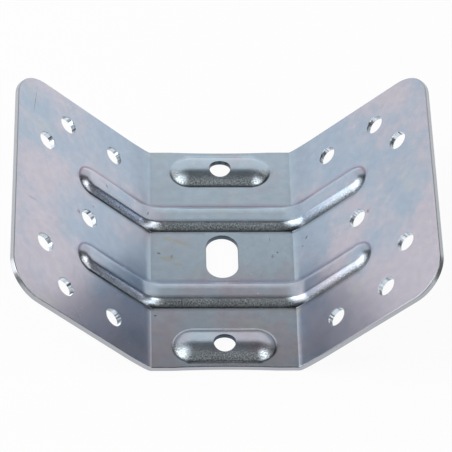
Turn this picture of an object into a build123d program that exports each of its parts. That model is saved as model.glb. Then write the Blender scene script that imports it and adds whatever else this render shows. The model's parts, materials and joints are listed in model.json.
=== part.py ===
from build123d import *
import os
from math import cos, radians, sin, tan

# Corner bracket pressed from one sheet of steel: a flat centre web and two wings folded up
# 45 degrees. Two long ribs cross the web and both folds, two oval bosses stiffen the web
# beside its top and bottom edges. All sizes are in millimetres and degrees.
# Frame: X along the span, Y along the height of the folds, Z up; the web lies on Z = 0.

# ---- sheet ----
HEIGHT = 80.0                # along Y, full length of each fold
WEB_WIDTH = 41.7             # between the two sharp fold lines on the upper face
WING_LENGTH = 50.7           # from a sharp fold line to the free edge of its wing
SHEET = 1.5                  # sheet thickness
FOLD_ANGLE = 45.0            # each wing out of the plane of the web
FOLD_RADIUS = 2.8            # inside radius of the fold
CORNER_RADIUS = 10.0         # free corners of the wings

# ---- ribs pressed across both folds ----
RIB_PITCH = 28.2             # between the two rib centre lines
RIB_ROOT_WIDTH = 9.4         # where a rib leaves the flat sheet
RIB_CREST_WIDTH = 4.4        # across the flat crest
RIB_HEIGHT = 1.5             # crest above the sheet
RIB_CREST_RADIUS = 6.5       # inside radius of the crest where it turns up a wing
RIB_SHOULDER = 1.0           # rounding between crest and flank
RIB_END_MARGIN = 23.7        # from a rib's round end to the free edge of the wing

# ---- oval bosses on the web ----
BOSS_LENGTH = 28.4
BOSS_WIDTH = 11.4
BOSS_HEIGHT = 1.7            # crown above the sheet
BOSS_EDGE_MARGIN = 2.0       # from the boss to the edge of the web
EDGE_DRAW_IN = 0.35          # the web's edge is pulled in beside a boss by the pressing

# ---- holes ----
WING_HOLE = 5.5
BOSS_HOLE = 6.0
SLOT_WIDTH = 9.0
SLOT_LENGTH = 15.6           # over the round ends
ROW_EDGE_MARGIN = 10.1       # outer rows of wing holes to the top and bottom edges
OUTER_PAIR_SPACING = 37.5    # between the two holes nearest the free edge
OUTER_PAIR_MARGIN = 11.4     # those two holes to the free edge
CORNER_PAIR_MARGIN = 19.2    # holes beside the free corners to the free edge
FOLD_PAIR_OFFSET = 13.4      # holes beside the fold to the sharp fold line
CENTRE_HOLE_OFFSET = 23.0    # the lone hole between the ribs to the sharp fold line

HALF_WEB = WEB_WIDTH / 2
HALF_HEIGHT = HEIGHT / 2
CUT_DEPTH = 4 * (SHEET + RIB_HEIGHT + BOSS_HEIGHT)
FOLD_SINE = sin(radians(FOLD_ANGLE))
FOLD_COSINE = cos(radians(FOLD_ANGLE))
FOLD_SHIFT = tan(radians(FOLD_ANGLE / 2))


def on_wing(along, level):
    """XZ point of the +X wing, along from the fold line and level above the upper face."""
    x = HALF_WEB + along * FOLD_COSINE - level * FOLD_SINE
    z = SHEET + along * FOLD_SINE + level * FOLD_COSINE
    return (x, z)


def span_points(along, level):
    """Four XZ corners of a line across both wings and the web, level above the upper face."""
    tip_x, tip_z = on_wing(along, level)
    bend_x = HALF_WEB - level * FOLD_SHIFT
    bend_z = SHEET + level
    return [(-tip_x, tip_z), (-bend_x, bend_z), (bend_x, bend_z), (tip_x, tip_z)]


def folded_sheet():
    """The plain blank folded twice, with round free corners and its edges drawn in."""
    upper = span_points(WING_LENGTH, 0)
    lower = span_points(WING_LENGTH, -SHEET)
    outline = make_face(Polyline(*upper, *reversed(lower), close=True))
    upper_bends = outline.vertices().filter_by_position(Axis.Y, SHEET, SHEET)
    outline = fillet(upper_bends, FOLD_RADIUS)
    lower_bends = outline.vertices().filter_by_position(Axis.Y, 0, 0)
    outline = fillet(lower_bends, FOLD_RADIUS + SHEET)
    sheet = extrude(Plane.XZ * outline, HALF_HEIGHT, both=True)
    free_edges = sheet.faces().sort_by(Axis.X)
    corners = free_edges[0].edges() + free_edges[-1].edges()
    sheet = fillet(corners.filter_by(Axis.Y, reverse=True), CORNER_RADIUS)
    half_boss = BOSS_LENGTH / 2
    edge = (0, HALF_HEIGHT - EDGE_DRAW_IN)
    chord = Line((half_boss, HALF_HEIGHT), (-half_boss, HALF_HEIGHT))
    arc = ThreePointArc((-half_boss, HALF_HEIGHT), edge, (half_boss, HALF_HEIGHT))
    sliver = extrude(make_face(arc + chord), CUT_DEPTH, both=True)
    return sheet - sliver - mirror(sliver, Plane.XZ)


def rib_tool(level, depth):
    """A rib's press form, level above the upper face and running on depth below that level."""
    flank_run = (RIB_ROOT_WIDTH - RIB_CREST_WIDTH) / 2
    foot = RIB_ROOT_WIDTH / 2 + depth * flank_run / RIB_HEIGHT
    crest = RIB_CREST_WIDTH / 2
    profile = make_face(
        Polyline((0, -depth), (foot, -depth), (crest, RIB_HEIGHT), (0, RIB_HEIGHT), close=True)
    )
    shoulder = profile.vertices().sort_by(Axis.Y)[-2:].sort_by(Axis.X)[-1]
    half = fillet(shoulder, RIB_SHOULDER)
    whole = half + mirror(half, Plane.YZ)
    end = WING_LENGTH - RIB_END_MARGIN - RIB_ROOT_WIDTH / 2
    bend = RIB_CREST_RADIUS + RIB_HEIGHT - level
    path = Plane.XZ * FilletPolyline(*span_points(end, level), radius=bend)
    start = Plane(origin=path @ 0, x_dir=(0, 1, 0), z_dir=path % 0)
    run = sweep(start * whole, path)
    cap = revolve(start * half, Axis(start.origin, start.y_dir), 180)
    return run + cap + mirror(cap, Plane.YZ)


def boss_tool(level):
    """An oval boss as a long round-ended bar, its crown BOSS_HEIGHT above the level."""
    half_width = BOSS_WIDTH / 2
    radius = (half_width**2 + BOSS_HEIGHT**2) / (2 * BOSS_HEIGHT)
    straight = (BOSS_LENGTH - BOSS_WIDTH) / 2
    half = make_face(
        Line((-straight - radius, 0), (straight + radius, 0))
        + RadiusArc((-straight - radius, 0), (-straight, radius), radius)
        + Line((-straight, radius), (straight, radius))
        + RadiusArc((straight, radius), (straight + radius, 0), radius)
    )
    bar = revolve(half, Axis.X)
    centre_y = HALF_HEIGHT - BOSS_EDGE_MARGIN - half_width
    return Pos(0, centre_y, SHEET + level + BOSS_HEIGHT - radius) * bar


def wing_drill(along, across):
    """A drill square to the +X wing at a distance from the fold line and from mid-height."""
    x, z = on_wing(along, 0)
    square_on = Plane(origin=(x, across, z), x_dir=(0, 1, 0), z_dir=(-FOLD_SINE, 0, FOLD_COSINE))
    return square_on * Cylinder(WING_HOLE / 2, CUT_DEPTH)


def build_bracket():
    body = folded_sheet()
    above = Pos(0, 0, SHEET / 2 + CUT_DEPTH / 2) * Box(WEB_WIDTH, HEIGHT, CUT_DEPTH)
    boss = boss_tool(0) & above
    hollow = boss_tool(-SHEET)
    body = body + boss + mirror(boss, Plane.XZ)
    rib = rib_tool(0, SHEET / 2)
    groove = rib_tool(-SHEET, SHEET)
    half_pitch = RIB_PITCH / 2
    body = body + Pos(0, half_pitch, 0) * rib + Pos(0, -half_pitch, 0) * rib
    body = body - Pos(0, half_pitch, 0) * groove - Pos(0, -half_pitch, 0) * groove
    body = body - hollow - mirror(hollow, Plane.XZ)
    row = HALF_HEIGHT - ROW_EDGE_MARGIN
    outer = OUTER_PAIR_SPACING / 2
    spots = [
        (WING_LENGTH - CORNER_PAIR_MARGIN, row),
        (WING_LENGTH - CORNER_PAIR_MARGIN, -row),
        (WING_LENGTH - OUTER_PAIR_MARGIN, outer),
        (WING_LENGTH - OUTER_PAIR_MARGIN, -outer),
        (FOLD_PAIR_OFFSET, row),
        (FOLD_PAIR_OFFSET, -row),
        (CENTRE_HOLE_OFFSET, 0),
    ]
    for along, across in spots:
        drill = wing_drill(along, across)
        body = body - drill - mirror(drill, Plane.YZ)
    boss_y = HALF_HEIGHT - BOSS_EDGE_MARGIN - BOSS_WIDTH / 2
    for y in (-boss_y, boss_y):
        body = body - Pos(0, y, 0) * Cylinder(BOSS_HOLE / 2, CUT_DEPTH)
    slot = Rot(0, 0, 90) * SlotOverall(SLOT_LENGTH, SLOT_WIDTH)
    return body - extrude(slot, CUT_DEPTH, both=True)


bracket = build_bracket()
export_step(bracket, "parts/corner_bracket.step")
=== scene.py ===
import json
from math import cos, pi, radians, sin, tan

import bpy
import numpy as np
from mathutils import Matrix, Vector


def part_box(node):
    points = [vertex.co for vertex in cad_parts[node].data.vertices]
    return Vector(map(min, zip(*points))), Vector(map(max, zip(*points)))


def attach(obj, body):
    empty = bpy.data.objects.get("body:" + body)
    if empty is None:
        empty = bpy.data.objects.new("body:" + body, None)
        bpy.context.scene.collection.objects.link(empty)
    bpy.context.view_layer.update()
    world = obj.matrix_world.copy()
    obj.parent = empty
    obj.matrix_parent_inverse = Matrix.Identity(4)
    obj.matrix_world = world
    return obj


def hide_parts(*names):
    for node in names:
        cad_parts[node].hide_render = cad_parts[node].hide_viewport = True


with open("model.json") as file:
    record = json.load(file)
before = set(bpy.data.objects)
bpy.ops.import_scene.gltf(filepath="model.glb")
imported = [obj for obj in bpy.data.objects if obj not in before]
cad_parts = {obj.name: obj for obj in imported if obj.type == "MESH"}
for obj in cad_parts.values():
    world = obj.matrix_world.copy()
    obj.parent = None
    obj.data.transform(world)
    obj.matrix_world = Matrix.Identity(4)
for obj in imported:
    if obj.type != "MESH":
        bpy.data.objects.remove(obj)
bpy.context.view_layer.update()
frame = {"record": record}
mounts = {m["name"]: m for m in frame["record"]["mounts"]}

# A folded and pressed corner bracket in zinc-plated sheet steel. Lengths are in millimetres
# until a mesh is made; a point of the flat blank is (q, v), where q runs along the span from
# the middle of the web, round the sharp fold line and up a wing, and v runs along the folds.
MM = 0.001

# ---- the folded sheet, from the frame ----
sheet_low, sheet_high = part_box("corner_bracket")
SHEET = 1.5
FOLD_ANGLE = radians(45.0)
HALF_HEIGHT = (sheet_high.y - sheet_low.y) / 2 / MM
WING_LENGTH = ((sheet_high.z - sheet_low.z) / MM - SHEET) / sin(FOLD_ANGLE)
HALF_WEB = sheet_high.x / MM - WING_LENGTH * cos(FOLD_ANGLE) - SHEET * sin(FOLD_ANGLE)
FREE_EDGE = HALF_WEB + WING_LENGTH
# (length of sheet, turn reached in degrees) of each stage of a fold, from the web outward
PLAIN_FOLD = ((0.29, 33.0), (1.6, 41.0), (7.0, 45.0))
RIB_FOLD = ((8.6, 45.0),)
FOLD_STEPS = 2000            # steps in which the profile of a fold is added up
CORNER_RADIUS = 10.0
EDGE_DRAW_IN = 0.35          # how far the web's edge is pulled in beside a boss
ROLLED_EDGE = 0.28           # rounding of a sheared edge on the upper face
BURR_EDGE = 0.12             # rounding on the back
BORE_SHARE = 0.4             # a punched hole's edge is rounded by this share of both

# ---- ribs and bosses ----
RIB_CENTRE = 14.1
RIB_ROOT = 4.7               # half the width where the rib leaves the sheet
RIB_CREST = 2.3              # half the width of the crest
RIB_HEIGHT = 1.5
RIB_SHOULDER = 0.5           # half the width of the rounding beside the crest
SHOULDER_SLOPE = 0.30        # slope of the flank below the shoulder; it steepens to the root
RIB_END = HALF_WEB + 22.3    # centre of a rib's round end
RIB_FOOT = 0.3               # height of the rounding at the root
FOLD_EASING = (0.5, 0.3)     # reach inside and outside a rib's root where the fold changes
BOSS_HALF_WIDTH = 5.7
BOSS_HALF_STRAIGHT = 8.5
BOSS_HEIGHT = 1.7
BOSS_FOOT = 0.35
ROOT_LINE = 0.30             # half the width of the line where a rib or boss leaves the sheet
SIDE_EASING = 2.0            # a rib's near side, towards -Y, turns into its far side over twice this
FAR_FLANK_LOSS = 0.85        # share of the slope that the finish leaves out on the far side: painted shade, only the near flanks keep their full darker grain
HIGHLIGHT_GRAIN_LOSS = 0.62          # and on the wings: painted light, less dark grain so the ribs' highlights come out brighter
HIGHLIGHT_GRAIN_REACH = 3.5          # this painted light starts this far before the fold line
LONE_HOLE_OFFSET = 23.0      # the hole between the ribs, from the fold line
LONE_HOLE_RADIUS = 2.75

# ---- grid of the blank ----
FINE = 0.34                  # spacing where the sheet is pressed or bent
COARSE = 1.0                 # spacing on the flat
CORNER_STEPS = 14            # lines round a free corner
HOLE_FRAME = 1.7             # width of the ring of quads round a screw hole
SLOT_FRAME = 1.2             # and round the slot
HOLE_RINGS = 4
ROUND_STEPS = 3              # steps round a sheared edge
NORMAL_STEP = 0.01           # reach to each side when a slope is measured


def smooth_step(x, start, end):
    """0 before start, 1 after end, with a cubic between them."""
    t = np.clip((x - start) / (end - start), 0.0, 1.0)
    return t * t * (3 - 2 * t)


def rounded_ramp(x, half):
    """max(x, 0) with its corner replaced by a parabola that is 2 * half wide."""
    near = np.clip(x + half, 0.0, 2 * half)
    return near * near / (4 * half) + np.maximum(x - half, 0.0)


def fallen_arc(x, reach, height, foot):
    """height until x is 0, then an arc down to 0 at reach, with a rounding of foot at its end."""
    radius = (reach**2 + height**2) / (2 * height)
    x = np.maximum(x, 0.0)
    arc = np.sqrt(np.maximum(radius**2 - x * x, 0.0)) - radius + height
    return rounded_ramp(arc, foot / 2)


def boss_centre():
    """Distance of an oval boss from mid-height, from the screw holes on their crowns."""
    return mounts["boss_screws"]["dims"]["spacing_y_mm"] / 2


def rib_height(q, v):
    """Flat crest, flanks that steepen down to the root, and round ends: the height falls by a
    parabola of the distance past the crest, with roundings at the shoulder and the root."""
    past_end = np.maximum(np.abs(q) - RIB_END, 0.0)
    distance = np.hypot(past_end, np.abs(v) - RIB_CENTRE)
    past_crest = rounded_ramp(distance - RIB_CREST, RIB_SHOULDER)
    reach = RIB_ROOT - RIB_CREST
    steepening = (RIB_HEIGHT - SHOULDER_SLOPE * reach) / reach**2
    height = RIB_HEIGHT - SHOULDER_SLOPE * past_crest - steepening * past_crest**2
    return rounded_ramp(height, RIB_FOOT / 2)


def boss_height(q, v):
    """A long bar with ball ends, sunk until only a cap BOSS_HEIGHT high stands out."""
    past_end = np.maximum(np.abs(q) - BOSS_HALF_STRAIGHT, 0.0)
    distance = np.hypot(past_end, np.abs(v) - boss_centre())
    return fallen_arc(distance, BOSS_HALF_WIDTH, BOSS_HEIGHT, BOSS_FOOT)


def raised(q, v):
    """How far ribs and bosses stand out of the sheet."""
    return rib_height(q, v) + boss_height(q, v)


def fold_profile(stages):
    """Upper face of the sheet round a fold whose turn grows evenly through each stage: the
    length of sheet gone, x, z and turn at close steps from the start of the fold."""
    lengths = np.cumsum([0.0] + [length for length, _ in stages])
    turns = np.radians([0.0] + [turn for _, turn in stages])
    gone = np.linspace(0.0, lengths[-1], FOLD_STEPS)
    turn = np.interp(gone, lengths, turns)
    halfway = (turn[1:] + turn[:-1]) / 2
    x = np.append(0.0, np.cumsum(np.cos(halfway) * np.diff(gone)))
    z = np.append(0.0, np.cumsum(np.sin(halfway) * np.diff(gone)))
    return gone, x, z, turn


def fold_limits(profile):
    """Where on the blank a fold starts and ends, so that web and wing would meet at HALF_WEB."""
    _, x, z, _ = profile
    return HALF_WEB - x[-1] + z[-1] / tan(FOLD_ANGLE), HALF_WEB + z[-1] / sin(FOLD_ANGLE)


def bent(along, profile):
    """x, z and turn of the sheet's upper face across a fold: level, the profile, the wing."""
    gone, fold_x, fold_z, fold_turn = profile
    start, end = fold_limits(profile)
    here = np.clip((along - start) / (end - start), 0.0, 1.0) * gone[-1]
    wing = np.maximum(along - end, 0.0)
    x = np.minimum(along, start) + np.interp(here, gone, fold_x) + wing * cos(FOLD_ANGLE)
    z = np.interp(here, gone, fold_z) + wing * sin(FOLD_ANGLE)
    return x, z, np.interp(here, gone, fold_turn)


def formed(q, v, depth):
    """Points of the pressed sheet, depth below its upper face: the profile of the plain fold or,
    under a rib, of a wide one, moved along its own normal by rib and boss height less the depth."""
    along = np.abs(q)
    plain = bent(along, fold_profile(PLAIN_FOLD))
    wide = bent(along, fold_profile(RIB_FOLD))
    beside = np.abs(np.abs(v) - RIB_CENTRE) - RIB_ROOT
    share = smooth_step(beside, -FOLD_EASING[0], FOLD_EASING[1])
    x, z, turn = (w + (p - w) * share for p, w in zip(plain, wide))
    lift = raised(q, v) - depth
    x = x - lift * np.sin(turn)
    z = z + lift * np.cos(turn) + SHEET
    return np.stack([np.sign(q) * x, v, z], -1)


def grid_lines(*stretches):
    """Lines along one half of the blank: each stretch is (start, end, spacing), end to end."""
    parts = []
    for start, end, spacing in stretches:
        count = max(1, round((end - start) / spacing))
        parts.append(np.linspace(start, end, count, endpoint=False))
    return np.concatenate(parts)


def mirrored(lines):
    """Lines of the other half in front of these, which start at 0."""
    return np.concatenate([-lines[:0:-1], lines])


def span_lines():
    """Lines across the span up to the free corners, close where the sheet bends or is pressed."""
    boss_end = BOSS_HALF_STRAIGHT + BOSS_HALF_WIDTH
    fold_start, fold_end = fold_limits(fold_profile(RIB_FOLD))
    crease, _ = fold_limits(fold_profile(PLAIN_FOLD))
    corner = FREE_EDGE - CORNER_RADIUS
    return grid_lines(
        (0.0, BOSS_HALF_STRAIGHT, COARSE),
        (BOSS_HALF_STRAIGHT, boss_end + FINE, FINE),
        (boss_end + FINE, fold_start, COARSE),
        (fold_start, crease - FINE / 2, FINE),
        (crease - FINE / 2, crease + FINE, FINE / 4),
        (crease + FINE, fold_end, FINE),
        (fold_end, RIB_END, COARSE),
        (RIB_END, RIB_END + RIB_ROOT + RIB_FOOT, FINE),
        (RIB_END + RIB_ROOT + RIB_FOOT, corner, COARSE),
    )


def height_lines():
    """Lines across the height, close on the rib flanks and on the bosses."""
    inner = RIB_CENTRE - RIB_ROOT - FOLD_EASING[1]
    shoulder = RIB_CREST - FINE
    outer = RIB_CENTRE + RIB_ROOT + FOLD_EASING[1]
    boss_near = boss_centre() - BOSS_HALF_WIDTH - FINE
    boss_far = boss_centre() + BOSS_HALF_WIDTH + FINE
    half = grid_lines(
        (0.0, inner, COARSE),
        (inner, RIB_CENTRE - shoulder, FINE),
        (RIB_CENTRE - shoulder, RIB_CENTRE + shoulder, COARSE),
        (RIB_CENTRE + shoulder, outer, FINE),
        (outer, boss_near, COARSE),
        (boss_near, boss_far, FINE),
        (boss_far, HALF_HEIGHT, COARSE),
    )
    return mirrored(np.append(half, HALF_HEIGHT))


def blank_grid(inset):
    """Lines of the span and the height, the outer ones squeezed to the outline less the inset:
    straight edges drawn in on the web by a parabola, and quarter circles at the free corners."""
    plain = span_lines()
    turn = np.linspace(0.0, pi / 2, CORNER_STEPS + 1)
    corner = FREE_EDGE - CORNER_RADIUS + (CORNER_RADIUS - inset) * np.sin(turn)
    span = mirrored(np.concatenate([plain, corner]))
    boss_end = BOSS_HALF_STRAIGHT + BOSS_HALF_WIDTH
    drawn = EDGE_DRAW_IN * np.maximum(1 - (plain / boss_end) ** 2, 0.0)
    side = HALF_HEIGHT - inset - drawn
    round_off = HALF_HEIGHT - CORNER_RADIUS + (CORNER_RADIUS - inset) * np.cos(turn)
    reach = np.concatenate([side, round_off])
    reach = np.concatenate([reach[:0:-1], reach])[:, None]
    height = height_lines()[None, :]
    still = HALF_HEIGHT - 2 * CORNER_RADIUS
    outside = np.maximum(np.abs(height) - still, 0.0)
    squeezed = outside * (reach - still) / (HALF_HEIGHT - still)
    v = np.sign(height) * (np.minimum(np.abs(height), still) + squeezed)
    return np.stack([np.broadcast_to(span[:, None], v.shape), v], -1)


def wing_hole_places():
    """(q, v, radius) of the screw holes of the right wing, read from the mounts of its pairs."""
    places = [(HALF_WEB + LONE_HOLE_OFFSET, 0.0, LONE_HOLE_RADIUS)]
    for pair in ("corner", "edge", "fold"):
        mount = mounts[f"right_{pair}_screws"]
        along = (mount["pos_m"][0] / MM - HALF_WEB) * cos(FOLD_ANGLE)
        along = along + (mount["pos_m"][2] / MM - SHEET) * sin(FOLD_ANGLE)
        half = mount["dims"]["pcd_mm"] / 2
        for v in (-half, half):
            places.append((HALF_WEB + along, v, mount["dims"]["hole_r_mm"]))
    return places


def hole_list():
    """Every hole of the blank as (q, v, radius, half its straight length along v, frame)."""
    holes = []
    for q, v, radius in wing_hole_places():
        holes.append((-q, v, radius, 0.0, HOLE_FRAME))
        holes.append((q, v, radius, 0.0, HOLE_FRAME))
    boss = mounts["boss_screws"]["dims"]
    for v in (-boss_centre(), boss_centre()):
        holes.append((0.0, v, boss["hole_r_mm"], 0.0, HOLE_FRAME))
    slot = mounts["hanger_bolt_slot"]["dims"]
    straight = slot["slot_length_mm"] / 2 - slot["hole_r_mm"]
    holes.append((0.0, 0.0, slot["hole_r_mm"], straight, SLOT_FRAME))
    return holes


def frame_of(hole, grid):
    """Index ranges of the grid lines nearest to a frame round the hole."""
    q, v, radius, straight, border = hole
    span = grid[:, grid.shape[1] // 2, 0]
    column = np.abs(span - q).argmin()
    height = grid[column, :, 1]
    reach = radius + border
    i = [int(np.abs(span - q - side * reach).argmin()) for side in (-1, 1)]
    j = [int(np.abs(height - v - side * (reach + straight)).argmin()) for side in (-1, 1)]
    return i, j


def blank_layout(grid):
    """Quads of the blank: the grid without the frames, and rings of quads from each frame in
    to its hole. Returns the quads and, for each hole, the grid indices of its frame in order."""
    columns, rows = grid.shape[:2]
    number = np.arange(columns * rows).reshape(columns, rows)
    keep = np.ones((columns - 1, rows - 1), bool)
    quads, frames = [], []
    first = columns * rows
    for hole in hole_list():
        (i0, i1), (j0, j1) = frame_of(hole, grid)
        keep[i0:i1, j0:j1] = False
        loop = np.concatenate([
            number[i0:i1, j0], number[i1, j0:j1], number[i1:i0:-1, j1], number[i0, j1:j0:-1],
        ])
        frames.append(loop)
        inner = first + np.arange(HOLE_RINGS * len(loop)).reshape(HOLE_RINGS, -1)
        rings = np.vstack([loop, inner])
        after = np.roll(rings, -1, axis=1)
        ring_quads = np.stack([rings[:-1], after[:-1], after[1:], rings[1:]], -1)
        quads.append(ring_quads.reshape(-1, 4))
        first += inner.size
    cells = np.stack([number[:-1, :-1], number[1:, :-1], number[1:, 1:], number[:-1, 1:]], -1)
    quads.append(cells[keep])
    return np.concatenate(quads), frames


def blank_points(inset, frames):
    """(q, v) of every point of the blank: the grid, then for each hole the rings that lie at
    equal steps between its frame and its edge, a circle or slot made larger by the inset."""
    grid = blank_grid(inset).reshape(-1, 2)
    parts = [grid]
    step = np.arange(1, HOLE_RINGS + 1)[:, None, None] / HOLE_RINGS
    for hole, loop in zip(hole_list(), frames):
        q, v, radius, straight, _ = hole
        outer = grid[loop]
        along = v + np.clip(outer[:, 1] - v, -straight, straight)
        middle = np.stack([np.full(len(loop), q), along], -1)
        edge = middle + unit(outer - middle) * (radius + inset * BORE_SHARE)
        parts.append((outer + (edge - outer) * step).reshape(-1, 2))
    return np.concatenate(parts)


def unit(vectors):
    """Each vector divided by its own length."""
    return vectors / np.linalg.norm(vectors, axis=-1, keepdims=True)


def sheet_normal(q, v, depth):
    """Normal of the pressed sheet, from the slopes of formed() along q and along v."""
    reach = NORMAL_STEP
    along = formed(q + reach, v, depth) - formed(q - reach, v, depth)
    across = formed(q, v + reach, depth) - formed(q, v - reach, depth)
    return unit(np.cross(along, across))


def outward(q, v, away, depth, normal):
    """Direction out of the sheet's edge, square to the normal."""
    q_step, v_step = NORMAL_STEP * away.T
    out = formed(q + q_step, v + v_step, depth) - formed(q - q_step, v - v_step, depth)
    return unit(out - (out * normal).sum(-1, keepdims=True) * normal)


def sheet_layers():
    """Rings round each sheared edge from the upper face to the back, as (angle of the normal
    above the edge, inset, depth): a quarter circle ROLLED_EDGE, the wall, and one BURR_EDGE."""
    turns = np.linspace(0.0, pi / 2, ROUND_STEPS + 1)
    layers = []
    for turn in turns[1:]:
        layers.append((turn, ROLLED_EDGE * (1 - sin(turn)), ROLLED_EDGE * (1 - cos(turn))))
    for turn in turns[:0:-1]:
        back = SHEET - BURR_EDGE * (1 - cos(turn))
        layers.append((pi - turn, BURR_EDGE * (1 - sin(turn)), back))
    return layers


def press_marks(q, v):
    """What the finish follows on ribs and bosses: how steep they are, and two lines where they
    leave the flat sheet. The slope is the gradient of raised(), less FAR_FLANK_LOSS of it on the
    far side, so that only the near flanks keep their darker grain as painted shade, and less a
    second share of it up the wings, which lightens the ribs there as painted light. The lines are
    bell curves, ROOT_LINE wide, of the distance to the root: one tinted on a rib's far side, and
    one of dark painted shade on every near side."""
    reach = NORMAL_STEP
    along = raised(q + reach, v) - raised(q - reach, v)
    across = raised(q, v + reach) - raised(q, v - reach)
    slope = np.hypot(along, across) / (2 * reach)
    rib_side = v - np.sign(v) * RIB_CENTRE
    boss_side = v - np.sign(v) * boss_centre()
    past_end = np.maximum(np.abs(q) - RIB_END, 0.0)
    rib = np.hypot(past_end, rib_side) - RIB_ROOT
    past_end = np.maximum(np.abs(q) - BOSS_HALF_STRAIGHT, 0.0)
    boss = np.hypot(past_end, boss_side) - BOSS_HALF_WIDTH
    rib_line = np.exp(-((rib / ROOT_LINE) ** 2))
    boss_line = np.exp(-((boss / ROOT_LINE) ** 2))
    far_rib = smooth_step(rib_side, -SIDE_EASING, SIDE_EASING)
    far_boss = smooth_step(boss_side, -SIDE_EASING, SIDE_EASING)
    far = np.where(np.abs(rib) < np.abs(boss), far_rib, far_boss)
    painted_root_shade = np.maximum(rib_line * (1 - far_rib), boss_line * (1 - far_boss))
    # painted light: on the wings the ribs lose most of their dark grain, so their highlights come
    # out brighter
    highlight_share = smooth_step(np.abs(q), HALF_WEB - HIGHLIGHT_GRAIN_REACH, HALF_WEB)
    # painted shade: the far flanks lose most of the darker grain, the near ones keep it
    slope = slope * (1 - FAR_FLANK_LOSS * far) * (1 - HIGHLIGHT_GRAIN_LOSS * highlight_share)
    return slope, rib_line * far_rib, painted_root_shade


def pressed_sheet():
    """The whole bracket as arrays: points, normals, quads, places on the blank, and the values
    its finish follows. Upper face and back are two copies of the blank, joined round every edge
    by rings of points that sheet_layers() gives."""
    quads, frames = blank_layout(blank_grid(0.0))
    upper = blank_points(ROLLED_EDGE, frames)
    back = blank_points(BURR_EDGE, frames)
    sharp = blank_points(0.0, frames)
    sides = np.stack([quads, np.roll(quads, -1, axis=1)], -1).reshape(-1, 2)
    key = np.sort(sides, axis=1) @ np.array([len(upper), 1])
    _, first, times = np.unique(key, return_index=True, return_counts=True)
    rim, rim_sides = np.unique(sides[first[times == 1]], return_inverse=True)
    rim_sides = rim_sides.reshape(-1, 2)
    away = unit(sharp[rim] - upper[rim])

    points = [formed(upper[:, 0], upper[:, 1], 0.0)]
    normals = [sheet_normal(upper[:, 0], upper[:, 1], 0.0)]
    rings = [rim]
    count = len(upper)
    layers = sheet_layers()
    for step, (turn, inset, depth) in enumerate(layers):
        q, v = blank_points(inset, frames)[rim].T
        normal = sheet_normal(q, v, depth)
        out = outward(q, v, away, depth, normal)
        points.append(formed(q, v, depth))
        normals.append(normal * cos(turn) + out * sin(turn))
        rings.append(count + step * len(rim) + np.arange(len(rim)))
    start = count + len(layers) * len(rim)
    points.append(formed(back[:, 0], back[:, 1], SHEET))
    normals.append(-sheet_normal(back[:, 0], back[:, 1], SHEET))
    rings.append(start + rim)
    rings = np.array(rings)
    a, b = rings[:, rim_sides[:, 0]], rings[:, rim_sides[:, 1]]
    walls = np.stack([b[:-1], a[:-1], a[1:], b[1:]], -1).reshape(-1, 4)
    faces = np.concatenate([quads, walls, start + quads[:, ::-1]])

    blank = np.concatenate([upper, *(sharp[rim] for _ in layers), back])
    slope, tinted, painted_root_shade = press_marks(blank[:, 0], blank[:, 1])
    sheared = np.zeros(len(blank))
    sheared[count:start] = 1.0
    bored = np.zeros(len(blank))
    bored[count:start] = np.tile(rim >= blank_grid(0.0)[..., 0].size, len(layers))
    used, faces = np.unique(faces, return_inverse=True)
    marks = {
        "pressed": slope[used],
        "tinted": tinted[used],
        "painted_root_shade": painted_root_shade[used],
        "sheared": sheared[used],
        "bored": bored[used],
    }
    points = np.concatenate(points)[used]
    normals = np.concatenate(normals)[used]
    blank = np.pad(blank[used], ((0, 0), (0, 1)))
    return points, normals, faces.reshape(-1, 4), blank, marks


def bracket_mesh():
    """The bracket as an object, with its own normals and the values its finish follows."""
    points, normals, faces, blank, marks = pressed_sheet()
    mesh = bpy.data.meshes.new("zinc_bracket")
    mesh.from_pydata(points * MM, [], faces)
    mesh.update()
    mesh.normals_split_custom_set_from_vertices(normals)
    for name, values in marks.items():
        mark = mesh.attributes.new(name, "FLOAT", "POINT")
        mark.data.foreach_set("value", values.astype(np.float32))
    place = mesh.attributes.new("blank", "FLOAT_VECTOR", "POINT")
    place.data.foreach_set("vector", blank.astype(np.float32).ravel())
    bracket = bpy.data.objects.new("zinc_bracket", mesh)
    bpy.context.scene.collection.objects.link(bracket)
    return bracket


# ---- finish ----
# Colours are linear. Patterns read the blank coordinates in millimetres, so they follow the
# sheet round its folds as the rolled and plated strip does.
WEB_ZINC = (0.53, 0.65, 0.75, 1.0)
WING_ZINC = (0.41, 0.50, 0.61, 1.0)
ROSE_ZINC = (0.57, 0.55, 0.62, 1.0)
STRAW_ZINC = (0.58, 0.60, 0.57, 1.0)
MOTTLE_DARK = (0.95, 0.95, 0.96, 1.0)
MOTTLE_LIGHT = (1.03, 1.02, 1.02, 1.0)
GRAIN_HOLLOW = (0.10, 0.14, 0.16, 1.0)
GRAIN_TOP = (0.78, 0.84, 0.86, 1.0)
ROOT_ROSE = (0.34, 0.15, 0.22, 1.0)
ROOT_VIOLET = (0.20, 0.18, 0.34, 1.0)
# painted shade: the dark line along the root on the near side of each rib and boss
PAINTED_ROOT_SHADE = (0.03, 0.035, 0.04, 1.0)
STAIN = (0.60, 0.52, 0.33, 1.0)
SPECK = (0.11, 0.08, 0.06, 1.0)
CUT_STEEL = (0.42, 0.44, 0.47, 1.0)
# painted shade for the web's hole walls; painted light and painted glints for the wings' hole walls
BORE_SHADE = (0.07, 0.09, 0.12, 1.0)
WING_BORE_LIGHT = (0.58, 0.66, 0.74, 1.0)
BORE_GLINT = (0.90, 0.94, 0.98, 1.0)

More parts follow.
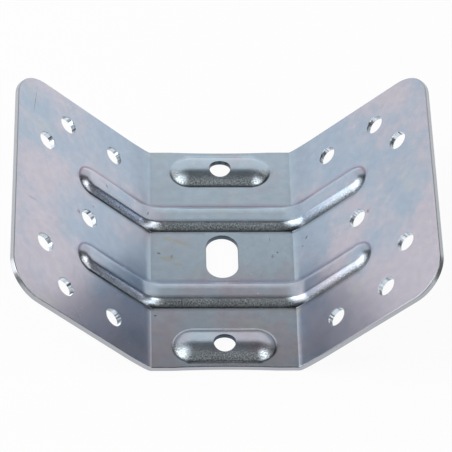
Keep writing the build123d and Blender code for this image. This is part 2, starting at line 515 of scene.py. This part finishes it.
# Noise of each pattern: the size of its features in millimetres, or in clouds or grains for the
# patterns of the coat and the press, and a turn in radians that keeps one pattern off another.
BROAD_CLOUDS = {"size": 1.0, "detail": 3.0, "roughness": 0.55}
SMALL_CLOUDS = {"size": 0.16, "detail": 2.0, "roughness": 0.6}
STRAW_CLOUDS = {"size": 0.7, "detail": 3.0, "roughness": 0.6, "turn": 1.1}
TONE_CLOUDS = {"size": 0.35, "detail": 4.0, "roughness": 0.6, "turn": 0.4}
PRESS_GRAIN = {"size": 1.0, "detail": 2.0, "roughness": 0.75}
SCRATCH_LINES = {"size": 0.5, "detail": 1.0, "roughness": 0.5}
SCRATCH_PATCHES = {"size": 9.0, "detail": 2.0, "roughness": 0.5}
PIT_DOTS = {"size": 0.8, "detail": 1.0, "roughness": 0.5, "turn": 0.8}
PIT_PATCHES = {"size": 7.0, "detail": 2.0, "roughness": 0.5, "turn": 2.1}
MOTTLE = {"size": 2.6, "detail": 3.0, "roughness": 0.65, "turn": 0.9}
RAGGED_EDGE = {"size": 1.6, "detail": 3.0, "roughness": 0.7}
BORE_LINES = {"size": 0.5, "detail": 2.0, "roughness": 0.7}
ROLLED_WAVE = {"size": 14.0, "detail": 0.0, "roughness": 0.5}
# (turn in radians, length over width) of the two ways that the fine scratches run
SCRATCH_WAYS = ((0.35, 26.0), (1.75, 18.0))

# Levels between which each pattern goes from none to full.
ROSE_LEVELS = (0.42, 0.68)
STRAW_LEVELS = (0.56, 0.78)
FLANK_SLOPES = (0.06, 0.5)
GRAIN_LEVELS = (0.36, 0.66)
SCRATCH_LEVELS = (0.68, 0.76)
SCRATCH_PATCH_LEVELS = (0.56, 0.68)
PIT_LEVELS = (0.74, 0.8)
PIT_PATCH_LEVELS = (0.55, 0.7)
MOTTLE_LEVELS = (0.3, 0.7)
MARK_LEVELS = (1.75, 1.0)    # distance from a mark's centre, in its own lengths, once broken up
GLINT_LEVELS = (0.5, 0.66)
DARK_STREAK_LEVELS = (0.45, 0.38)

CLOUD_SIZE = 26.0            # breadth of the tint clouds
BROAD_SHARE = 0.8            # of the broad clouds in them; the small ones have the rest
WEB_ROSE = -0.05             # added to the clouds before they turn rose, so less on the web
WING_ROSE = 0.12             # and this much more towards a free edge
LOW_ROSE = 0.18              # and towards the edge at -Y
WING_EASING = 3.0            # the web's colour turns into a wing's this far each side of a fold
GRAIN_SIZE = 0.42            # breadth of the press grain
ROOT_TURN = 6.0              # a root line is rose above this height and violet below minus it
MARK_BREAKING = 1.6          # how far the ragged noise moves the edge of a mark
STRAW_SHARE = 0.5            # how strongly each effect colours the plate
GRAIN_SHARE = 0.8
TINT_SHARE = 0.85
STAIN_SHARE = 0.42
PIT_SHARE = 0.35
PLATE_ROUGHNESS = 0.19       # of the bare plate, and what its tone, grain and pits add
TONE_ROUGHNESS = 0.12
GRAIN_ROUGHNESS = 0.05
PIT_ROUGHNESS = 0.2
GRAIN_RELIEF = 0.03          # heights in millimetres
SCRATCH_RELIEF = -0.007
WAVE_RELIEF = 0.04

# (q, v, half length, half width, turn in degrees) of the stains and small rust marks
STAINS = (
    (-14.5, 6.4, 3.6, 1.1, -14.0),
    (-11.0, 4.9, 3.0, 1.0, -18.0),
    (-15.5, -0.8, 3.6, 1.4, 4.0),
    (-12.5, -3.0, 2.4, 0.9, -12.0),
    (15.5, -20.3, 6.5, 0.6, 0.0),
    (20.8, -20.6, 1.6, 1.3, 0.0),
)
RUST_MARKS = (
    (25.0, 4.5, 0.8, 0.25, 55.0),
    (23.4, 2.1, 0.35, 0.3, 0.0),
    (13.6, 6.0, 0.09, 1.5, 4.0),
    (15.6, 1.5, 0.25, 0.45, 20.0),
    (-38.6, 14.4, 0.3, 0.8, 30.0),
    (-22.0, 14.0, 0.25, 0.9, -25.0),
    (-42.3, 5.3, 0.3, 0.35, 0.0),
    (-19.0, -21.6, 0.8, 0.25, 0.0),
    (-17.8, 1.2, 0.7, 0.3, -20.0),
    (-65.3, 30.0, 0.09, 6.5, -6.0),
    (-65.0, -6.0, 2.6, 0.08, 3.0),
    (55.8, 34.5, 0.08, 1.9, -25.0),
)


def put(tree, kind, inputs=None, **settings):
    """Add a node: settings are its own, and an input takes a value or another node's output."""
    node = tree.nodes.new("ShaderNode" + kind)
    for name, value in settings.items():
        setattr(node, name, value)
    for name, value in (inputs or {}).items():
        if isinstance(value, bpy.types.NodeSocket):
            tree.links.new(value, node.inputs[name])
        else:
            node.inputs[name].default_value = value
    return node


def maths(tree, operation, first, second=0.0, clamp=False):
    """One Math node's result, kept from 0 to 1 where clamp is set."""
    settings = {"operation": operation, "use_clamp": clamp}
    return put(tree, "Math", {0: first, 1: second}, **settings).outputs[0]


def times(tree, value, share):
    """The share of a value."""
    return maths(tree, "MULTIPLY", value, share)


def plus_share(tree, total, value, share, clamp=False):
    """The total with a share of the value added to it."""
    return maths(tree, "ADD", total, times(tree, value, share), clamp)


def blended(tree, share, first, second, blend="MIX"):
    """Colour first turned into second by the share."""
    inputs = {"Factor": share, "A": first, "B": second}
    return put(tree, "Mix", inputs, data_type="RGBA", blend_type=blend).outputs["Result"]


def spread(tree, value, none, full):
    """0 at none, 1 at full, smooth between."""
    inputs = {"Value": value, "From Min": none, "From Max": full}
    return put(tree, "MapRange", inputs, interpolation_type="SMOOTHSTEP").outputs["Result"]


def noise(tree, place, size, detail, roughness, stretch=(1.0, 1.0, 1.0), turn=0.0):
    """Noise with features of a size in millimetres, stretched along its turned axes."""
    scale = [1.0 / (size * s) for s in stretch]
    moved = put(tree, "Mapping", {"Vector": place, "Rotation": (0.0, 0.0, turn), "Scale": scale})
    inputs = {"Vector": moved.outputs[0], "Scale": 1.0, "Detail": detail, "Roughness": roughness}
    return put(tree, "TexNoise", inputs).outputs["Fac"]


def measured(tree, place, size):
    """The place counted in steps of a size, so that noise of size 1 has features of that size."""
    inputs = {0: place, "Scale": maths(tree, "DIVIDE", 1.0, size)}
    return put(tree, "VectorMath", inputs, operation="SCALE").outputs[0]


def new_group(name, inputs, outputs):
    """An empty node group with named inputs and outputs, given as (name, kind)."""
    tree = bpy.data.node_groups.new(name, "ShaderNodeTree")
    for direction, sockets in (("INPUT", inputs), ("OUTPUT", outputs)):
        for label, kind in sockets:
            tree.interface.new_socket(label, in_out=direction, socket_type="NodeSocket" + kind)
    given = tree.nodes.new("NodeGroupInput").outputs
    result = tree.nodes.new("NodeGroupOutput").inputs
    return tree, given, result


def group_node(tree, group, inputs):
    """Place a node group with its inputs; the outputs of the new node."""
    return put(tree, "Group", inputs, node_tree=group).outputs


def passivation_group():
    """Faint iridescence of a passivated zinc coat: blue, rose and straw in soft clouds."""
    tree, given, result = new_group(
        "passivation",
        [("Place", "Vector"), ("Cloud Size", "Float"), ("Rose", "Float"), ("Wing", "Float")],
        [("Colour", "Color"), ("Tone", "Float")],
    )
    place = measured(tree, given["Place"], given["Cloud Size"])
    cloud = times(tree, noise(tree, place, **BROAD_CLOUDS), BROAD_SHARE)
    cloud = plus_share(tree, cloud, noise(tree, place, **SMALL_CLOUDS), 1.0 - BROAD_SHARE)
    rose = spread(tree, maths(tree, "ADD", cloud, given["Rose"]), *ROSE_LEVELS)
    straw = spread(tree, noise(tree, place, **STRAW_CLOUDS), *STRAW_LEVELS)
    ground = blended(tree, given["Wing"], WEB_ZINC, WING_ZINC)
    colour = blended(tree, rose, ground, ROSE_ZINC)
    colour = blended(tree, times(tree, straw, STRAW_SHARE), colour, STRAW_ZINC)
    tree.links.new(colour, result["Colour"])
    tree.links.new(noise(tree, place, **TONE_CLOUDS), result["Tone"])
    return tree


def press_grain_group():
    """Orange peel where the press stretched the sheet: fine grain that grows with the slope."""
    tree, given, result = new_group(
        "press_grain",
        [("Place", "Vector"), ("Slope", "Float"), ("Grain Size", "Float")],
        [("Share", "Float"), ("Grain", "Float"), ("Height", "Float")],
    )
    share = spread(tree, given["Slope"], *FLANK_SLOPES)
    grain = noise(tree, measured(tree, given["Place"], given["Grain Size"]), **PRESS_GRAIN)
    tree.links.new(share, result["Share"])
    tree.links.new(spread(tree, grain, *GRAIN_LEVELS), result["Grain"])
    tree.links.new(times(tree, grain, share), result["Height"])
    return tree


def handling_group():
    """Fine scratches in two directions and dark pits, each thinned out by a broad cloud."""
    tree, given, result = new_group(
        "handling", [("Place", "Vector")], [("Scratches", "Float"), ("Pits", "Float")]
    )
    place = given["Place"]
    scratches = 0.0
    for turn, long in SCRATCH_WAYS:
        line = noise(tree, place, **SCRATCH_LINES, stretch=(1.0, long, 1.0), turn=turn)
        patch = noise(tree, place, **SCRATCH_PATCHES, turn=turn)
        here = spread(tree, patch, *SCRATCH_PATCH_LEVELS)
        thin = times(tree, spread(tree, line, *SCRATCH_LEVELS), here)
        scratches = maths(tree, "MAXIMUM", scratches, thin)
    tree.links.new(scratches, result["Scratches"])
    pits = spread(tree, noise(tree, place, **PIT_DOTS), *PIT_LEVELS)
    here = spread(tree, noise(tree, place, **PIT_PATCHES), *PIT_PATCH_LEVELS)
    tree.links.new(times(tree, pits, here), result["Pits"])
    return tree


def marks_at(tree, place, ragged, marks):
    """1 inside any of the marks: long soft ovals whose edges the ragged noise breaks up."""
    total = 0.0
    for q, v, length, width, turn in marks:
        inputs = {
            "Vector": place,
            "Location": (q, v, 0.0),
            "Rotation": (0.0, 0.0, radians(turn)),
            "Scale": (length, width, 1.0),
        }
        moved = put(tree, "Mapping", inputs, vector_type="TEXTURE").outputs[0]
        away = put(tree, "VectorMath", {0: moved}, operation="LENGTH").outputs["Value"]
        broken = plus_share(tree, away, ragged, MARK_BREAKING)
        total = maths(tree, "MAXIMUM", total, spread(tree, broken, *MARK_LEVELS))
    return total


def mark_on(tree, name):
    """One of the values that the mesh carries for its finish."""
    return put(tree, "Attribute", attribute_name=name).outputs["Fac"]


def plate_colour(tree, place, height, coat, grain, wear):
    """The mottled coat, and over it in turn press grain, a tinted root line, a root line of painted
    shade, stains, rust and pits.
    """
    mottle = spread(tree, noise(tree, place, **MOTTLE), *MOTTLE_LEVELS)
    mottle = blended(tree, mottle, MOTTLE_DARK, MOTTLE_LIGHT)
    colour = blended(tree, 1.0, coat["Colour"], mottle, "MULTIPLY")
    flank = blended(tree, grain["Grain"], GRAIN_HOLLOW, GRAIN_TOP)
    colour = blended(tree, times(tree, grain["Share"], GRAIN_SHARE), colour, flank)
    root = blended(tree, spread(tree, height, ROOT_TURN, -ROOT_TURN), ROOT_ROSE, ROOT_VIOLET)
    colour = blended(tree, times(tree, mark_on(tree, "tinted"), TINT_SHARE), colour, root)
    # painted shade: a dark line along the near root of each rib and boss
    colour = blended(tree, mark_on(tree, "painted_root_shade"), colour, PAINTED_ROOT_SHADE)
    ragged = noise(tree, place, **RAGGED_EDGE)
    stained = times(tree, marks_at(tree, place, ragged, STAINS), STAIN_SHARE)
    colour = blended(tree, stained, colour, STAIN)
    colour = blended(tree, marks_at(tree, place, ragged, RUST_MARKS), colour, SPECK)
    return blended(tree, times(tree, wear["Pits"], PIT_SHARE), colour, SPECK)


def bore_colour(tree, place, wing):
    """Wall of a hole: painted shade on the web; on a wing painted light, with bright streaks as
    painted glints, and dark streaks on both.
    """
    lines = noise(tree, place, **BORE_LINES)
    # painted shade on the web's hole walls, painted light on the wings' ones
    colour = blended(tree, wing, BORE_SHADE, WING_BORE_LIGHT)
    # painted glints along the wings' hole walls
    glints = times(tree, spread(tree, lines, *GLINT_LEVELS), wing)
    colour = blended(tree, glints, colour, BORE_GLINT)
    return blended(tree, spread(tree, lines, *DARK_STREAK_LEVELS), colour, BORE_SHADE)


def zinc_material():
    """Bright zinc plate: coat, press grain and wear, with bare steel on the sheared edges."""
    material = bpy.data.materials.new("bright_zinc_plate")
    material.use_nodes = True
    tree = material.node_tree
    shader = tree.nodes["Principled BSDF"]
    shader.inputs["Metallic"].default_value = 1.0
    place = put(tree, "Attribute", attribute_name="blank").outputs["Vector"]
    parts = put(tree, "SeparateXYZ", {0: place}).outputs
    height = parts["Y"]
    across = maths(tree, "ABSOLUTE", parts["X"])
    wing = spread(tree, across, HALF_WEB - WING_EASING, HALF_WEB + WING_EASING)
    rose = plus_share(tree, WEB_ROSE, spread(tree, across, HALF_WEB, FREE_EDGE), WING_ROSE)
    rose = plus_share(tree, rose, spread(tree, height, 0.0, -HALF_HEIGHT), LOW_ROSE)
    inputs = {"Place": place, "Cloud Size": CLOUD_SIZE, "Rose": rose, "Wing": wing}
    coat = group_node(tree, passivation_group(), inputs)
    inputs = {"Place": place, "Slope": mark_on(tree, "pressed"), "Grain Size": GRAIN_SIZE}
    grain = group_node(tree, press_grain_group(), inputs)
    wear = group_node(tree, handling_group(), {"Place": place})

    colour = plate_colour(tree, place, height, coat, grain, wear)
    colour = blended(tree, mark_on(tree, "sheared"), colour, CUT_STEEL)
    # hole walls: painted shade on the web, painted light on the wings
    colour = blended(tree, mark_on(tree, "bored"), colour, bore_colour(tree, place, wing))
    tree.links.new(colour, shader.inputs["Base Color"])

    gloss = plus_share(tree, PLATE_ROUGHNESS, coat["Tone"], TONE_ROUGHNESS)
    gloss = plus_share(tree, gloss, grain["Share"], GRAIN_ROUGHNESS)
    gloss = plus_share(tree, gloss, wear["Pits"], PIT_ROUGHNESS, clamp=True)
    tree.links.new(gloss, shader.inputs["Roughness"])

    relief = times(tree, grain["Height"], GRAIN_RELIEF)
    relief = plus_share(tree, relief, wear["Scratches"], SCRATCH_RELIEF)
    relief = plus_share(tree, relief, noise(tree, place, **ROLLED_WAVE), WAVE_RELIEF)
    bump = put(tree, "Bump", {"Strength": 1.0, "Distance": MM, "Height": relief})
    tree.links.new(bump.outputs["Normal"], shader.inputs["Normal"])
    return material


# ---- camera ----
CAMERA_PLACE = Vector((-26.1, -560.6, 648.5)) * MM
CAMERA_TARGET = Vector((0.77, -0.29, 14.78)) * MM
CAMERA_ROLL = radians(1.97)
CAMERA_LENS = 242.65
CAMERA_REACH = 100.0         # nothing further off than this is drawn

# ---- studio ----
# (name, place, aim, width, depth, radiance) of the soft panels, in metres
BRACKET_AIM = (0.0, 0.0, 0.015)
PANELS = (
    ("back_panel", (0.0, 0.42, 0.26), (0.0, 0.0, 0.26), 1.30, 0.52, 0.67),
    ("left_panel", (-0.520, -0.018, 0.483), BRACKET_AIM, 0.95, 0.60, 0.60),
    ("left_strip", (-0.517, 0.054, 0.483), BRACKET_AIM, 0.24, 0.50, 2.10),
    ("left_front_strip", (-0.539, -0.175, 0.426), BRACKET_AIM, 0.22, 0.55, 2.20),
    ("left_low_panel", (-0.672, 0.118, 0.172), BRACKET_AIM, 0.50, 0.20, 2.20),
    ("left_top_panel", (-0.295, 0.026, 0.649), BRACKET_AIM, 0.40, 0.30, 1.40),
    ("right_strip", (0.386, -0.348, 0.483), BRACKET_AIM, 0.30, 0.44, 1.90),
    ("right_top_panel", (0.304, -0.043, 0.644), BRACKET_AIM, 0.26, 0.26, 3.20),
    ("right_low_panel", (0.482, -0.482, 0.172), BRACKET_AIM, 0.30, 0.20, 2.00),
)
# (height from the horizon to the zenith, brightness) of the studio's air
SKY = ((0.0, 0.45), (0.04, 0.13), (0.3, 0.13), (0.7, 0.11), (1.0, 0.08))
FLOOR_HALF = 3.0
FLOOR_GLOW = 0.93            # share of the paper's white that is its own glow
PAPER_WHITE = (0.9, 0.9, 0.9, 1.0)
PAPER_ROUGHNESS = 0.9


def aimed(place, target, roll=0.0):
    """World matrix of something at place that looks at target, turned by roll about its view."""
    look = (target - place).to_track_quat("-Z", "Y").to_matrix().to_4x4()
    return Matrix.Translation(place) @ look @ Matrix.Rotation(roll, 4, "Z")


def add_camera():
    """The camera, made the scene's own."""
    data = bpy.data.cameras.new("camera")
    data.lens = CAMERA_LENS
    data.clip_end = CAMERA_REACH
    camera = bpy.data.objects.new("camera", data)
    camera.matrix_world = aimed(CAMERA_PLACE, CAMERA_TARGET, CAMERA_ROLL)
    bpy.context.scene.collection.objects.link(camera)
    bpy.context.scene.camera = camera


def add_panel(name, place, aim, width, depth, radiance):
    """A rectangular lamp whose own face is as bright as the radiance."""
    data = bpy.data.lights.new(name, "AREA")
    data.shape = "RECTANGLE"
    data.size = width
    data.size_y = depth
    data.energy = radiance * pi * width * depth
    lamp = bpy.data.objects.new(name, data)
    lamp.matrix_world = aimed(Vector(place), Vector(aim))
    lamp.visible_camera = False
    bpy.context.scene.collection.objects.link(lamp)


def add_world():
    """Dim studio air, palest at the horizon."""
    world = bpy.data.worlds.new("studio")
    bpy.context.scene.world = world
    world.use_nodes = True
    tree = world.node_tree
    way = put(tree, "TexCoord").outputs["Generated"]
    height = put(tree, "SeparateXYZ", {0: way}).outputs["Z"]
    ramp = put(tree, "ValToRGB", {"Fac": height})
    stops = ramp.color_ramp.elements
    while len(stops) < len(SKY):
        stops.new(0.5)
    for stop, (at, level) in zip(stops, SKY):
        stop.position = at
        stop.color = (level, level, level, 1.0)
    tree.links.new(ramp.outputs["Color"], tree.nodes["Background"].inputs["Color"])


def add_floor():
    """White paper. Its glow is seen by the camera and in reflections, and lights nothing."""
    half = FLOOR_HALF
    mesh = bpy.data.meshes.new("floor")
    corners = [(-half, -half, 0.0), (half, -half, 0.0), (half, half, 0.0), (-half, half, 0.0)]
    mesh.from_pydata(corners, [], [(0, 1, 2, 3)])
    floor = bpy.data.objects.new("floor", mesh)
    bpy.context.scene.collection.objects.link(floor)
    material = bpy.data.materials.new("white_paper")
    material.use_nodes = True
    tree = material.node_tree
    shader = tree.nodes["Principled BSDF"]
    shader.inputs["Base Color"].default_value = PAPER_WHITE
    shader.inputs["Roughness"].default_value = PAPER_ROUGHNESS
    shader.inputs["Specular IOR Level"].default_value = 0.0
    ray = put(tree, "LightPath").outputs
    seen = maths(tree, "MAXIMUM", ray["Is Camera Ray"], ray["Is Glossy Ray"])
    seen = maths(tree, "MAXIMUM", seen, ray["Is Transmission Ray"])
    glow = put(tree, "Emission")
    share = times(tree, seen, FLOOR_GLOW)
    both = put(tree, "MixShader", {0: share, 1: shader.outputs[0], 2: glow.outputs[0]})
    tree.links.new(both.outputs[0], tree.nodes["Material Output"].inputs["Surface"])
    mesh.materials.append(material)


add_camera()
add_world()
add_floor()
for panel in PANELS:
    add_panel(*panel)
bracket = bracket_mesh()
bracket.data.materials.append(zinc_material())
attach(bracket, "root")
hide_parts("corner_bracket")
bpy.context.scene.view_settings.view_transform = "Standard"
